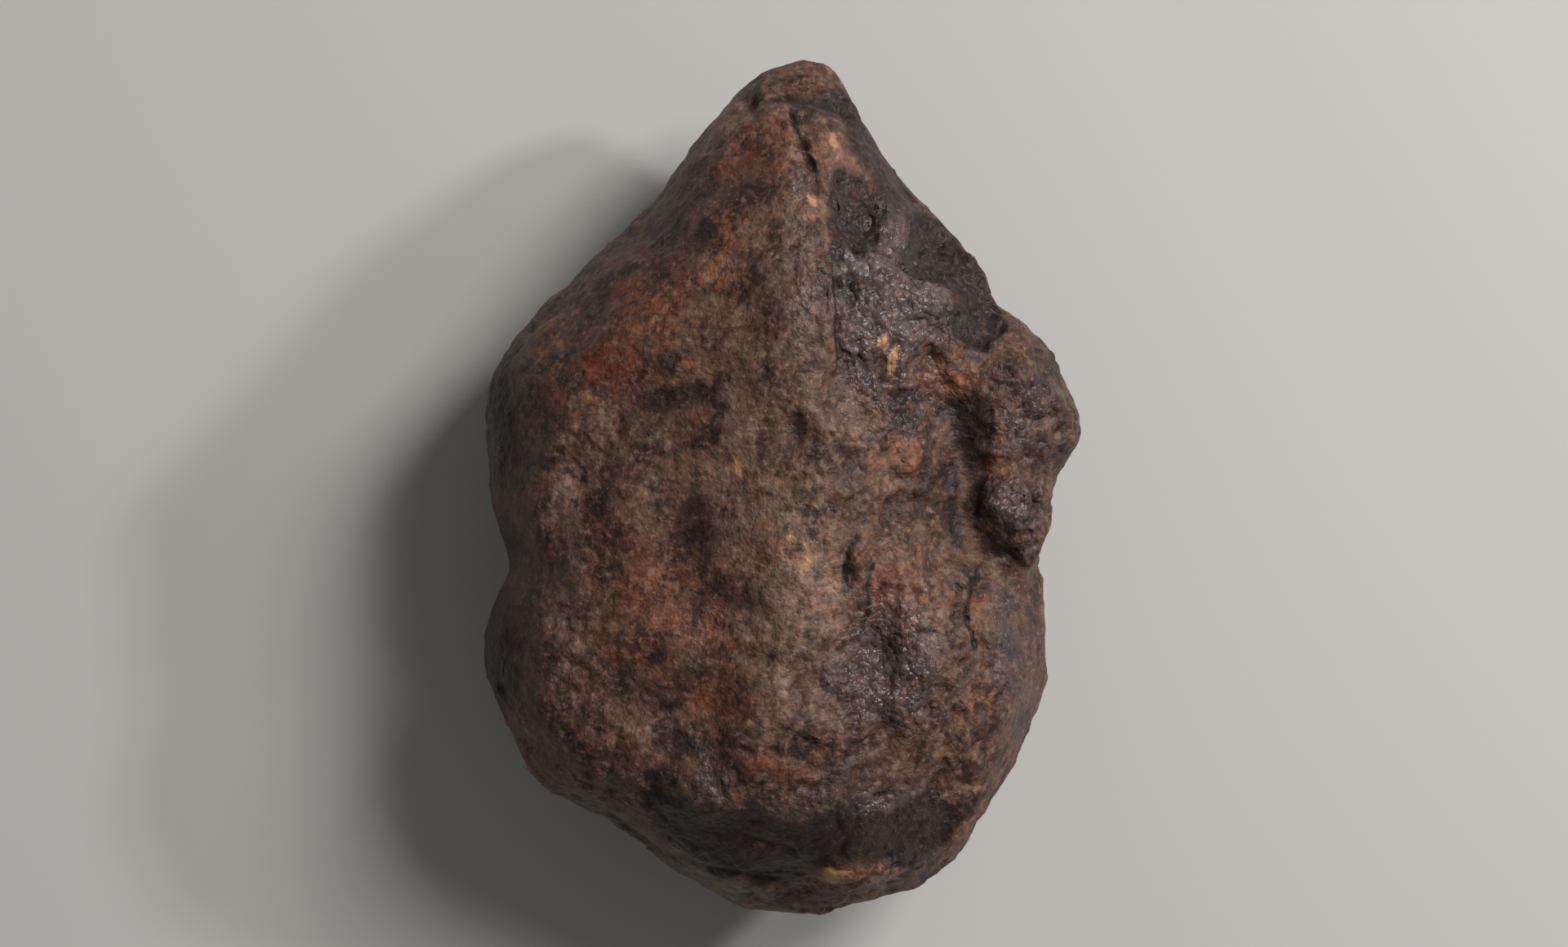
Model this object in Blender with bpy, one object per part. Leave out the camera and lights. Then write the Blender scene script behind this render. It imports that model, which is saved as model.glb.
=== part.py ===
"""A weathered eucrite meteorite: one solid stone, lying on the small flat spot of its back.

Seen from above, its pointed end is towards +Y. A long crest runs down the front, with a broad
slope to its left and a rougher, hollowed slope to its right that ends in a knob on the edge.
The origin is on the surface that the stone lies on, under the middle of the stone.
"""

import math

import bmesh
import bpy
import numpy as np
from mathutils import Vector, noise

MM = 0.001

# Driving dimensions, in millimetres
STONE_WIDTH = 73.0
STONE_LENGTH = 105.2
STONE_HEIGHT = 45.5

# The two domes that the stone is cut from, above and below its edge, and where the lower one is
# cut off flat
FRONT_RISE = 40.0
BACK_DEPTH = 21.6
FLAT_SPOT_DEPTH = 20.0
# How round the edge is: at 1 each side is half an ellipse, and below 1 it is leaner
EDGE_FULLNESS = 0.62
# How far the edge rises and falls on its way round, and where it is highest, in radians
EDGE_WANDER = 1.6
EDGE_WANDER_TURN = 0.6

# The cells of the box that the stone is shaped from, across, along and through it
CELLS_ACROSS = 27
CELLS_ALONG = 37
CELLS_DEEP = 21
# How much each point is drawn to the middle of its neighbours at the end, to even the arrises
EVENING = 0.45

# The middle of the plan, from which each point of the outline is seen
PLAN_CENTRE = (-0.5, -2.0)
# Steps of the curve between two points of the outline
OUTLINE_STEPS = 8
# The calmed outline, without its notches, is an average over this many degrees to each side
CALM_HALF_WINDOW = 11
# The share of the way out at which the notches begin to show, up to the edge
NOTCH_START = 0.90
# How far round the edge a notch leans from its lower to its upper end, in radians, and how many
# times that lean changes sides on the way round
NOTCH_LEAN = 0.10
NOTCH_LEAN_TURNS = 5.0

# The edge of the stone seen from above, clockwise from the pointed end, in millimetres
OUTLINE = [
    (2.8, 52.8), (6.0, 51.4), (8.8, 49.2), (9.1, 46.0), (9.4, 44.6), (11.6, 41.6), (14.0, 38.2),
    (14.5, 36.9), (16.9, 35.3), (18.0, 33.7), (20.8, 30.8), (23.8, 27.9), (25.0, 25.2),
    (25.4, 22.8), (26.2, 21.9), (29.0, 20.5), (31.8, 17.5), (33.2, 15.2), (33.8, 13.7),
    (35.6, 11.8), (36.5, 9.6), (36.4, 7.0), (35.4, 4.8), (33.6, 2.2), (32.6, -1.0),
    (32.7, -3.3), (31.9, -5.4), (31.0, -6.8), (31.3, -9.5), (31.5, -14.5), (31.5, -19.0),
    (33.2, -20.9), (32.7, -23.2), (31.4, -26.8), (29.8, -30.5), (28.0, -34.5), (25.2, -38.2),
    (23.4, -41.8), (22.0, -44.0), (19.9, -45.8), (17.6, -47.3), (13.8, -48.4), (9.9, -49.0),
    (7.0, -49.9), (5.2, -51.3), (3.6, -52.4), (1.8, -50.8), (-1.4, -49.9), (-5.5, -50.0),
    (-8.0, -48.1), (-11.3, -46.2), (-14.0, -45.1), (-15.8, -42.6), (-18.4, -40.8),
    (-21.4, -39.1), (-24.2, -37.6), (-28.0, -36.4), (-31.6, -33.4), (-33.2, -29.0),
    (-34.4, -25.8), (-36.2, -22.4), (-36.8, -18.0), (-36.0, -14.0), (-33.9, -10.6),
    (-33.4, -8.6), (-34.2, -5.4), (-35.6, -1.6), (-36.2, 3.0), (-36.8, 9.2), (-36.9, 14.0),
    (-35.7, 17.0), (-32.7, 20.1), (-29.1, 23.1), (-26.8, 24.3), (-24.6, 27.0), (-20.8, 30.2),
    (-16.6, 34.0), (-14.9, 36.3), (-12.3, 39.5), (-9.6, 44.2), (-6.4, 47.8), (-4.2, 50.0),
    (-0.6, 51.4),
]

# Flat faces of the front: point on the face, direction it falls towards and its pitch in
# degrees, and how far the arris round it is rounded
FRONT_FACES = {
    "left slope": ((0.5, 8.0, 27.6), 184, 19, 2.4),
    "right slope": ((5.2, 14.0, 26.8), -2, 31, 1.3),
    "apex slope": ((1.0, 27.0, 26.0), 92, 22, 4.0),
    "cap": ((2.0, 44.5, 17.5), 72, 52, 1.4),
    "foot slope": ((-1.0, -14.0, 27.2), -92, 12, 5.0),
    "bottom face": ((1.0, -38.4, 20.0), -84, 54, 1.2),
    "bottom left face": ((-14.0, -37.0, 17.0), -112, 50, 1.6),
    "left wall": ((-26.8, -14.0, 19.0), 185, 57, 1.8),
    "left shoulder": ((-28.0, 9.0, 18.6), 163, 52, 4.0),
    "upper left bevel": ((-15.6, 28.8, 19.5), 137, 47, 5.0),
    "upper right bevel": ((14.5, 29.0, 18.0), 38, 50, 2.4),
    "right flank": ((24.5, -18.0, 15.5), -6, 50, 3.4),
    "lower right bevel": ((17.0, -36.5, 15.0), -46, 46, 3.0),
}

# Flat faces of the back, with depths counted down from the edge of the stone
BACK_FACES = {
    "back left": ((-20.0, 4.0, 18.0), 176, 38, 5.0),
    "back right": ((20.0, -6.0, 16.5), -8, 36, 4.0),
    "back top": ((0.0, 26.0, 16.5), 84, 28, 5.0),
    "back foot": ((2.0, -30.0, 17.0), -82, 34, 4.0),
    "back upper right": ((14.0, 20.0, 15.5), 36, 36, 3.0),
}

# Round swellings (positive) and hollows (negative) of the front: centre, half lengths along
# its own two axes, turn in degrees, and height
FRONT_SWELLINGS = {
    "left scoop": ((-9.0, -5.0), (9.0, 22.0), 8, -1.7),
    "low left scoop": ((-13.5, -23.0), (9.5, 9.0), 0, -1.0),
    "band hollow": ((-12.5, 10.5), (10.0, 4.5), 14, -0.8),
    "upper left hollow": ((-12.0, 33.0), (8.0, 5.0), 48, -0.8),
    "left belly": ((-20.5, -8.0), (7.5, 24.0), -3, 0.9),
    "red swelling": ((-14.0, 19.0), (11.0, 9.0), 40, 1.0),
    "shoulder": ((-29.5, 8.0), (9.0, 13.0), -12, 2.0),
    "low left bulge": ((-30.5, -20.0), (8.0, 12.0), 8, 2.2),
    "waist": ((-32.0, -8.5), (8.0, 5.0), 0, -2.0),
    "crest dimple": ((2.2, 6.5), (3.4, 5.0), 10, -1.0),
    "apex hollow": ((8.6, 33.5), (4.6, 7.0), 8, -1.5),
    "scallop below apex": ((11.0, 27.5), (4.6, 4.6), 0, -0.9),
    "edge scallop": ((18.5, 29.5), (5.6, 5.0), -38, -1.5),
    "second edge scallop": ((23.5, 20.0), (4.4, 4.6), 0, -1.3),
    "glossy swelling": ((11.0, 20.0), (6.0, 8.5), 14, 1.0),
    "right knob": ((30.8, 11.0), (10.5, 13.5), -26, 4.3),
    "round lump": ((29.0, -2.6), (7.4, 7.0), 0, 2.5),
    "flank hollow": ((27.5, -11.5), (5.5, 4.6), 0, -1.0),
    "flank swelling": ((24.5, -26.0), (6.5, 9.0), 8, 1.4),
    "leaf flake": ((10.0, -11.0), (3.8, 7.5), -6, 1.0),
    "right belly": ((16.0, -17.0), (6.5, 11.0), 5, 1.2),
    "low crest": ((-1.5, -27.0), (6.5, 12.0), 0, 1.0),
    "tan heel": ((7.0, -46.0), (8.0, 3.6), 6, 2.4),
}

BACK_SWELLINGS = {
    "upper thumbprint": ((-6.0, 31.0), (8.5, 8.0), 20, -2.0),
    "left thumbprint": ((-22.0, 10.0), (8.0, 9.5), 0, -1.9),
    "low left thumbprint": ((-19.0, -18.0), (9.5, 8.0), 30, -2.1),
    "low thumbprint": ((4.0, -36.0), (9.0, 7.0), -10, -1.7),
    "right thumbprint": ((23.0, 6.0), (7.0, 9.0), 10, -1.8),
    "low right thumbprint": ((18.0, -24.0), (7.5, 8.5), -30, -1.6),
    "small thumbprint": ((10.0, 30.0), (5.5, 6.5), 0, -1.2),
    "back swelling": ((14.0, 13.0), (9.0, 8.0), 0, 1.2),
    "left back swelling": ((-13.0, -4.0), (8.0, 9.0), 0, 1.0),
}

# How steep the sides of a swelling are: at 1 it is a smooth mound, and above 1 its top is flatter
SWELLING_STEEPNESS = 1.35

# Broken flats of the sides and the back: the direction each one faces, as its turn from +X and
# its elevation in degrees, and how deep it cuts into the stone
FLATS = {
    "left underside": (178, -38, 2.6),
    "low left underside": (222, -42, 3.2),
    "foot underside": (276, -40, 2.8),
    "low right underside": (322, -36, 2.6),
    "right underside": (8, -44, 3.0),
    "upper right underside": (48, -34, 2.2),
    "upper left underside": (132, -40, 2.8),
    "low left side": (214, 24, 1.6),
    "right side": (338, 16, 1.2),
    "upper left side": (140, 12, 1.4),
}
FLAT_ROUNDING = 1.1

# Long furrows (negative) and ridges (positive) of the front: path, half width and height
FRONT_FURROWS = {
    "trough": ([(18.0, 14.5), (20.4, 9.0), (21.4, 2.5), (22.2, -3.5), (24.6, -8.0)], 3.2, -2.6),
    "apex groove": ([(-3.0, 46.6), (0.6, 46.8), (2.0, 42.0), (3.6, 37.5), (5.0, 33.5)], 1.5, -1.6),
    "crest line": ([(6.2, 31.0), (5.8, 25.0), (6.1, 18.0), (6.0, 12.5)], 1.4, -0.9),
    "cap groove": ([(0.6, 47.2), (4.6, 46.8), (9.4, 45.0)], 1.8, -1.9),
    "middle valley": ([(10.4, -14.0), (11.2, -20.0), (10.2, -26.0), (9.6, -33.0)], 2.2, -1.3),
    "right furrow": ([(24.4, -9.5), (22.4, -12.5), (22.0, -17.0), (23.4, -20.5)], 1.7, -1.7),
    "low ridge": ([(-6.6, 4.0), (-3.6, -7.0), (-2.0, -18.0), (-3.0, -28.0)], 3.2, 1.1),
    "left crease": ([(-26.0, 3.0), (-26.4, -10.0), (-26.8, -20.0), (-26.4, -28.0)], 1.8, -0.9),
    "lip line": ([(-27.0, -36.0), (-16.5, -42.0), (-8.0, -46.8), (1.0, -48.0)], 1.8, -1.8),
}

# Relief is full above this level on the way from the edge, 0, to the middle of a side, 1
RELIEF_LEVEL = 0.35

# Waviness of the whole surface: wavelength and height of each size of unevenness, the share of
# it that is left at the edge, and how fast it grows from there
WAVES = [(24.0, 0.9), (10.0, 0.7), (5.2, 0.42)]
EDGE_WAVES = 0.25
WAVES_GROWTH = 1.5
# Noise reaches about this far to each side of nothing
NOISE_REACH = 0.625
# Dished hollows side by side, as an entry through the air leaves them: size and depth. The
# front's broad left slope has none: they start right of the crest and are full a way on
SCALLOP_SIZE = 10.5
SCALLOP_DEPTH = 1.9
SCALLOPS_START = 3.0
SCALLOPS_BLEND = 9.0
BACK_SCALLOPS = 0.6
# How far the flat faces are bent out of true, so that no arris is a straight line
WARP_LENGTH = 13.0
WARP_REACH = 1.7
# One place in the noise for each use, so that no two are alike
WARP_X_PLACE = 3.0
WARP_Y_PLACE = 7.0
WAVE_PLACES = (11.0, 16.0, 21.0)

STONE_COLOUR = (0.075, 0.048, 0.038, 1.0)
STONE_ROUGHNESS = 0.58


def smooth_step(value):
    """0 below 0, 1 above 1, and an even curve between."""
    t = np.clip(value, 0.0, 1.0)
    return t * t * (3.0 - 2.0 * t)


def smooth_min(a, b, rounding):
    """The lower of two heights, with the arris between them rounded."""
    share = np.clip(0.5 + 0.5 * (b - a) / rounding, 0.0, 1.0)
    return b * (1.0 - share) + a * share - rounding * share * (1.0 - share)


def wave(points, wavelength, place):
    """Smooth unevenness from about -1 to 1, the same on each run."""
    shift = Vector((place, 2.0 * place, -place))
    samples = [noise.noise(Vector(p) / wavelength + shift) for p in points]
    return np.array(samples) / NOISE_REACH


def scallops(points):
    """Shallow dished hollows, about -0.5 in the middle of each and 0.5 on the ridges between."""
    nearest = np.array([noise.voronoi(Vector(p) / SCALLOP_SIZE)[0][0] for p in points])
    return np.minimum(nearest, 1.0) ** 2 - 0.5


def outline_curve():
    """The outline as a smooth curve through its points, about the plan's centre."""
    corners = np.array(OUTLINE) - PLAN_CENTRE
    before = np.roll(corners, 1, axis=0)
    after = np.roll(corners, -1, axis=0)
    beyond = np.roll(corners, -2, axis=0)
    bends = 2.0 * before - 5.0 * corners + 4.0 * after - beyond
    twists = -before + 3.0 * corners - 3.0 * after + beyond
    steps = [
        corners + 0.5 * t * (after - before + t * (bends + t * twists))
        for t in np.arange(OUTLINE_STEPS) / OUTLINE_STEPS
    ]
    return np.concatenate(steps)


def edge_radius(angle, notch_angle, notched):
    """How far the edge is at each angle: a calmed outline that takes up the true one's notches."""
    curve = outline_curve()
    curve_angle = np.arctan2(curve[:, 1], curve[:, 0])
    order = np.argsort(curve_angle)
    curve_angle, curve_radius = curve_angle[order], np.hypot(*curve.T)[order]
    whole_turn = 2.0 * math.pi
    degrees = np.radians(np.arange(-180, 180))
    radius = np.interp(degrees, curve_angle, curve_radius, period=whole_turn)
    window = np.hanning(2 * CALM_HALF_WINDOW + 1)
    wrapped = np.concatenate([radius[-CALM_HALF_WINDOW:], radius, radius[:CALM_HALF_WINDOW]])
    calmed = np.convolve(wrapped, window / window.sum(), mode="valid")
    calm = np.interp(angle, degrees, calmed, period=whole_turn)
    true = np.interp(notch_angle, curve_angle, curve_radius, period=whole_turn)
    return calm + (true - calm) * notched


def face_height(x, y, face):
    """The height of one flat face over the plan."""
    (at_x, at_y, at_z), towards, pitch, _ = face
    towards = math.radians(towards)
    away = (x - at_x) * math.cos(towards) + (y - at_y) * math.sin(towards)
    return at_z - math.tan(math.radians(pitch)) * away


def swelling_height(x, y, swelling):
    """A round swelling or hollow that dies out at its edge."""
    (at_x, at_y), (half_u, half_v), turn, height = swelling
    c, s = math.cos(math.radians(turn)), math.sin(math.radians(turn))
    u = ((x - at_x) * c + (y - at_y) * s) / half_u
    v = (-(x - at_x) * s + (y - at_y) * c) / half_v
    return height * smooth_step(SWELLING_STEEPNESS * (1.0 - np.hypot(u, v)))


def path_distance(x, y, path):
    """How far each point of the plan is from a path."""
    nearest = np.full(len(x), np.inf)
    for (ax, ay), (bx, by) in zip(path, path[1:]):
        length_squared = (bx - ax) ** 2 + (by - ay) ** 2
        t = np.clip(((x - ax) * (bx - ax) + (y - ay) * (by - ay)) / length_squared, 0.0, 1.0)
        nearest = np.minimum(nearest, np.hypot(x - ax - t * (bx - ax), y - ay - t * (by - ay)))
    return nearest


def furrow_height(x, y, furrow):
    """A long furrow or ridge along a path."""
    path, half_width, height = furrow
    return height * np.exp(-((path_distance(x, y, path) / half_width) ** 2))


def relief(x, y, rise, faces, swellings, furrows, fade):
    """The height of one side: a dome trimmed by flat faces, then swellings and furrows."""
    plan = np.column_stack([x, y, np.zeros(len(x))])
    warped_x = x + WARP_REACH * wave(plan, WARP_LENGTH, WARP_X_PLACE)
    warped_y = y + WARP_REACH * wave(plan, WARP_LENGTH, WARP_Y_PLACE)
    height = rise
    for face in faces.values():
        height = smooth_min(height, face_height(warped_x, warped_y, face), face[3])
    for swelling in swellings.values():
        height = height + fade * swelling_height(x, y, swelling)
    for furrow in furrows.values():
        height = height + fade * furrow_height(x, y, furrow)
    return height


def cut_flat(points, flat):
    """The points with one broken flat cut into the side that faces its way."""
    turn, elevation, depth = flat
    turn, elevation = math.radians(turn), math.radians(elevation)
    level = math.cos(elevation)
    facing = np.array([math.cos(turn) * level, math.sin(turn) * level, math.sin(elevation)])
    out = points @ facing
    kept = smooth_min(out, np.full(len(out), out.max() - depth), FLAT_ROUNDING)
    return points + (kept - out)[:, None] * facing


def grid_box():
    """A closed grid of square cells on a box, which has no pole to pinch the surface."""
    grid = bmesh.new()
    bmesh.ops.create_cube(grid, size=2.0)
    for axis, cells in enumerate((CELLS_ACROSS, CELLS_ALONG, CELLS_DEEP)):
        along = [
            e for e in grid.edges if abs(e.verts[0].co[axis] - e.verts[1].co[axis]) > 1.0
        ]
        bmesh.ops.subdivide_edges(grid, edges=along, cuts=cells - 1, use_grid_fill=True)
    return grid


def plan_and_level(box_points):
    """Each box point's share of the way out to the edge, its angle, and its level, -1 to 1."""
    spread = np.tan(box_points * math.pi / 4.0)
    ball = spread / np.linalg.norm(spread, axis=1)[:, None]
    return np.hypot(ball[:, 0], ball[:, 1]), np.arctan2(ball[:, 1], ball[:, 0]), ball[:, 2]


def side_heights(x, y, angle, level):
    """The height of each point over the middle of the edge: the front, the back and the edge."""
    depth = np.abs(level)
    fade = smooth_step(depth / RELIEF_LEVEL)
    dome = depth * (EDGE_FULLNESS + (1.0 - EDGE_FULLNESS) * depth)
    front = relief(x, y, FRONT_RISE * dome, FRONT_FACES, FRONT_SWELLINGS, FRONT_FURROWS, fade)
    back = relief(x, y, BACK_DEPTH * dome, BACK_FACES, BACK_SWELLINGS, {}, fade)
    wander = EDGE_WANDER * np.sin(2.0 * angle + EDGE_WANDER_TURN) * (1.0 - smooth_step(depth))
    return np.where(level > 0.0, front, -back) + wander


def weather(points, outwards, level):
    """The points with the scallops, the waves and the broken flats of a worn surface."""
    depth = np.abs(level)
    right_of_crest = smooth_step((points[:, 0] - SCALLOPS_START) / SCALLOPS_BLEND)
    scalloped = np.where(level > 0.0, right_of_crest, BACK_SCALLOPS)
    lift = SCALLOP_DEPTH * smooth_step(depth / RELIEF_LEVEL) * scalloped * scallops(points)
    points = points + outwards * lift[:, None]
    share = smooth_step(EDGE_WAVES + WAVES_GROWTH * depth)
    for (wavelength, height), place in zip(WAVES, WAVE_PLACES):
        lift = height * share * wave(points, wavelength, place)
        points = points + outwards * lift[:, None]
    for flat in FLATS.values():
        points = cut_flat(points, flat)
    return points


def shape_stone(box_points):
    """The box's points moved to the surface of the stone, in millimetres."""
    out, angle, level = plan_and_level(box_points)
    leaning = angle + NOTCH_LEAN * level * np.sin(NOTCH_LEAN_TURNS * angle)
    notched = smooth_step((out - NOTCH_START) / (1.0 - NOTCH_START))
    radius = out * edge_radius(angle, leaning, notched)
    x = PLAN_CENTRE[0] + radius * np.cos(angle)
    y = PLAN_CENTRE[1] + radius * np.sin(angle)
    points = np.column_stack([x, y, side_heights(x, y, angle, level)])
    outwards = np.column_stack([out * np.cos(angle), out * np.sin(angle), level])
    return weather(points, outwards, level)


def stone_material():
    material = bpy.data.materials.new("weathered_stone")
    material.use_nodes = True
    shader = material.node_tree.nodes["Principled BSDF"]
    shader.inputs["Base Color"].default_value = STONE_COLOUR
    shader.inputs["Roughness"].default_value = STONE_ROUGHNESS
    shader.inputs["Metallic"].default_value = 0.0
    material.diffuse_color = STONE_COLOUR
    return material


def clear_scene():
    for obj in list(bpy.data.objects):
        bpy.data.objects.remove(obj, do_unlink=True)


def place_points(grid, points):
    for vert, point in zip(grid.verts, points):
        vert.co = Vector(point)


def fit_to_size(points):
    """The points cut off at the flat spot, scaled to the stone's size and set on the origin."""
    points[:, 2] = np.maximum(points[:, 2], -FLAT_SPOT_DEPTH)
    points = points * (STONE_WIDTH, STONE_LENGTH, STONE_HEIGHT) / np.ptp(points, axis=0)
    lowest, highest = points.min(axis=0), points.max(axis=0)
    middle = (lowest + highest) / 2.0
    return points - (middle[0], middle[1], lowest[2])


def build_stone(collection):
    """The whole stone, one closed solid."""
    grid = grid_box()
    place_points(grid, shape_stone(np.array([v.co for v in grid.verts])))
    bmesh.ops.smooth_vert(
        grid, verts=grid.verts, factor=EVENING, use_axis_x=True, use_axis_y=True, use_axis_z=True
    )
    place_points(grid, MM * fit_to_size(np.array([v.co for v in grid.verts])))
    bmesh.ops.recalc_face_normals(grid, faces=grid.faces)
    mesh = bpy.data.meshes.new("stone")
    grid.to_mesh(mesh)
    grid.free()
    mesh.shade_smooth()
    mesh.materials.append(stone_material())
    stone = bpy.data.objects.new("stone", mesh)
    collection.objects.link(stone)
    return stone


def main():
    clear_scene()
    collection = bpy.data.collections.new("eucrite_meteorite")
    bpy.context.scene.collection.children.link(collection)
    build_stone(collection)


main()
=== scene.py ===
"""The looks of a weathered eucrite meteorite, lying on its back and seen from straight above."""

import math
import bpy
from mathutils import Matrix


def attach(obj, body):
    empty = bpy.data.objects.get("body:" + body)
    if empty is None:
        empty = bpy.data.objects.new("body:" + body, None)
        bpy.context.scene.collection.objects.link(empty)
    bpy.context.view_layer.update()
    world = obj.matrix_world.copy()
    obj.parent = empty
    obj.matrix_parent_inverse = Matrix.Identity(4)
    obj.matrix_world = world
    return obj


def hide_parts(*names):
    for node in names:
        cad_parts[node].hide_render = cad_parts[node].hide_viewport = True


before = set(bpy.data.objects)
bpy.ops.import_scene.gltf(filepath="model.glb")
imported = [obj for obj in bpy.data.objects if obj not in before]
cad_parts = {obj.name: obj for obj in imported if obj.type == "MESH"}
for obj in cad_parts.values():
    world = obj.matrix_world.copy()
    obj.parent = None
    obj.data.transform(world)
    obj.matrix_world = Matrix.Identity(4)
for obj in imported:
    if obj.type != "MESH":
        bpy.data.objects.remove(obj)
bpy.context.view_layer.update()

from types import SimpleNamespace

import bmesh
import bpy
import numpy as np
from mathutils import Vector, noise

MM = 0.001

# The camera looks straight down, and its view is this wide at the level of the stone's edge. All
# of its sizes are in millimetres
VIEW_WIDTH = 192.0
VIEW_CENTRE = (0.15, 1.8)
EDGE_LEVEL = 20.0
LENS = 100.0
SENSOR = 36.0

# The floor: its width in metres, colour and roughness
FLOOR_SIZE = 6.0
FLOOR_COLOUR = (0.62, 0.61, 0.59, 1.0)
FLOOR_ROUGHNESS = 0.8

# The soft lights: direction, distance and width in metres, power and tint
LIGHTS = {
    "key": ((0.62, 0.50, 0.85), 0.9, 0.3, 5.5, (1.0, 0.96, 0.93)),
    "glint": ((0.90, 0.30, 0.62), 0.9, 0.08, 2.8, (0.97, 0.98, 1.0)),
    "fill": ((-0.8, -0.3, 0.9), 1.2, 0.9, 0.12, (0.96, 0.97, 1.0)),
}
ROOM_COLOUR = (0.94, 0.93, 0.93, 1.0)
ROOM_LIGHT = 0.13

# Two triangles of the stone's mesh become one quad where they are out of line by less than this
QUAD_ANGLE = math.radians(40)
# The mesh is made finer this near to a crack, and then all of it is halved this often
FINER_REACH = 1.8
HALVINGS = 2

# Sizes of the worn surface, in millimetres, which are the inputs of its node tree
SURFACE_SIZES = {
    "Warp Size": 6.0,
    "Warp Reach": 1.5,
    "Swell Size": 7.0,
    "Swell Height": 0.8,
    "Flake Size": 5.6,
    "Flake Height": 1.3,
    "Chip Size": 2.3,
    "Chip Height": 0.8,
    "Dish Size": 4.2,
    "Dish Depth": 0.8,
    "Pit Size": 2.4,
    "Pit Depth": 0.55,
    "Grain Size": 1.2,
    "Grain Height": 0.34,
    "Streak Height": 0.06,
    "Rest Height": 2.2,
}
SURFACE_SEED = 4
# How far apart in the noise two seeds are
SEED_STEP = 31.0
# Below this height, in millimetres, the stone rests flat and isn't worn
REST_LEVEL = 0.15
# The share of a flake's size over which its tilt fades towards its border
FLAKE_BORDER = 0.16

# How rough the surface is on the front, on the back, and at the least
ROUGHNESS = 0.9
BACK_ROUGHNESS = 0.7
LEAST_ROUGHNESS = 0.1
# Calm places of the front: centre, half lengths, turn in degrees and strength
CALM_PLACES = [
    ((-13.0, 20.0), (14.0, 22.0), -40, 0.9), ((-14.0, -8.0), (15.0, 23.0), 0, 0.9),
    ((-31.0, -4.0), (7.0, 28.0), 0, 0.9), ((1.0, 24.0), (3.4, 16.0), 0, 0.8),
    ((28.5, -20.0), (4.0, 14.0), 3, 1.1), ((3.0, -42.0), (17.0, 4.4), 3, 1.1),
    ((-14.0, -45.0), (16.0, 3.4), -27, 0.9), ((-12.0, -31.0), (12.0, 8.0), -20, 0.6),
    ((0.0, 49.5), (6.0, 3.0), 0, 0.5), ((21.4, 3.0), (2.8, 10.0), -5, 0.9),
    ((25.0, -6.6), (2.6, 4.4), 40, 0.9), ((5.0, 33.0), (3.0, 4.0), 0, 0.7),
]

# Cracks of the front: path seen from above, half width and depth, in millimetres
CRACKS = {
    "cap crack": ([(0.6, 46.4), (1.6, 43.4), (3.0, 39.6), (4.0, 36.4), (4.6, 34.4)], 0.42, 0.6),
    "cap groove": ([(-5.2, 44.8), (-3.2, 46.8), (0.6, 47.4), (4.4, 46.6), (8.8, 44.8)], 0.8, 0.5),
    "crest crack": ([(6.1, 27.4), (6.0, 24.0), (6.4, 20.4), (6.1, 17.0), (6.6, 13.6)], 0.42, 0.6),
    "lump rim": ([(28.6, 1.6), (30.0, 0.2), (30.3, -1.6), (29.6, -3.4), (28.0, -4.6)], 0.5, 0.5),
    "flank line": ([(25.0, -8.6), (28.4, -7.8), (31.4, -6.6)], 0.42, 0.4),
    "right furrow": ([(24.2, -8.8), (22.6, -12.0), (22.0, -16.2), (23.6, -20.0)], 0.7, 0.8),
    "foot line": ([(-5.4, -41.2), (-2.0, -42.6), (2.2, -43.8)], 0.4, 0.35),
    "foot crack": ([(4.4, -38.0), (6.2, -39.6), (7.4, -41.4), (6.8, -44.0)], 0.4, 0.35),
    "foot fold": ([(17.4, -41.0), (14.6, -42.8), (11.8, -44.8)], 0.45, 0.35),
    "lip line": ([(-24.0, -38.4), (-15.0, -44.0), (-6.0, -46.6), (2.0, -47.8)], 0.5, 0.45),
}

# Long stains of the front, by kind, and the lines of painted shade among them: path, half width and
# strength
LONG_STAINS = {
    # Painted shade along the trough, the grooves and the right furrow, the undercut lines by the leaf
    # and the wedge, and the crease above the left wall
    "dark_and_painted_shade": [
        ([(19.4, 5.0), (20.0, -2.0), (21.2, -8.4)], 1.2, 0.8),
        ([(22.6, -3.0), (25.0, -6.4), (29.4, -9.4)], 1.4, 0.7),
        ([(9.0, -4.2), (8.0, -7.0), (7.3, -10.0), (7.2, -13.6)], 0.35, 1.1),
        ([(10.4, -7.4), (10.1, -11.0), (10.0, -13.6), (9.4, -17.0)], 0.4, 1.0),
        ([(24.2, -9.4), (22.6, -11.4), (22.0, -14.0), (21.8, -17.4)], 0.9, 1.0),
        ([(6.0, -19.6), (7.6, -17.8)], 0.5, 0.8),
        ([(-26.4, 4.0), (-26.6, -8.0), (-26.8, -20.0), (-26.2, -30.0)], 1.2, 0.5),
        ([(5.4, 33.0), (6.4, 29.6), (6.2, 26.0)], 0.9, 0.9),
    ],
    "lip": [
        ([(-3.4, -41.2), (0.2, -42.6), (3.4, -44.0)], 0.35, 1.0),
        ([(4.0, -39.0), (6.1, -41.5), (5.8, -44.4)], 0.35, 1.0),
        ([(2.4, -37.4), (3.1, -42.4)], 0.3, 0.8),
        ([(24.0, -9.4), (28.0, -8.4), (31.6, -6.4)], 0.35, 0.9),
    ],
    "rust": [
        ([(-7.0, 34.0), (-6.2, 29.0), (-8.6, 25.6), (-5.8, 22.6)], 1.0, 1.0),
        ([(-24.4, 12.0), (-21.0, 10.0), (-18.6, 12.6)], 0.7, 0.9),
        ([(-12.4, 15.0), (-9.0, 14.6)], 0.6, 1.0),
    ],
}

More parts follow.
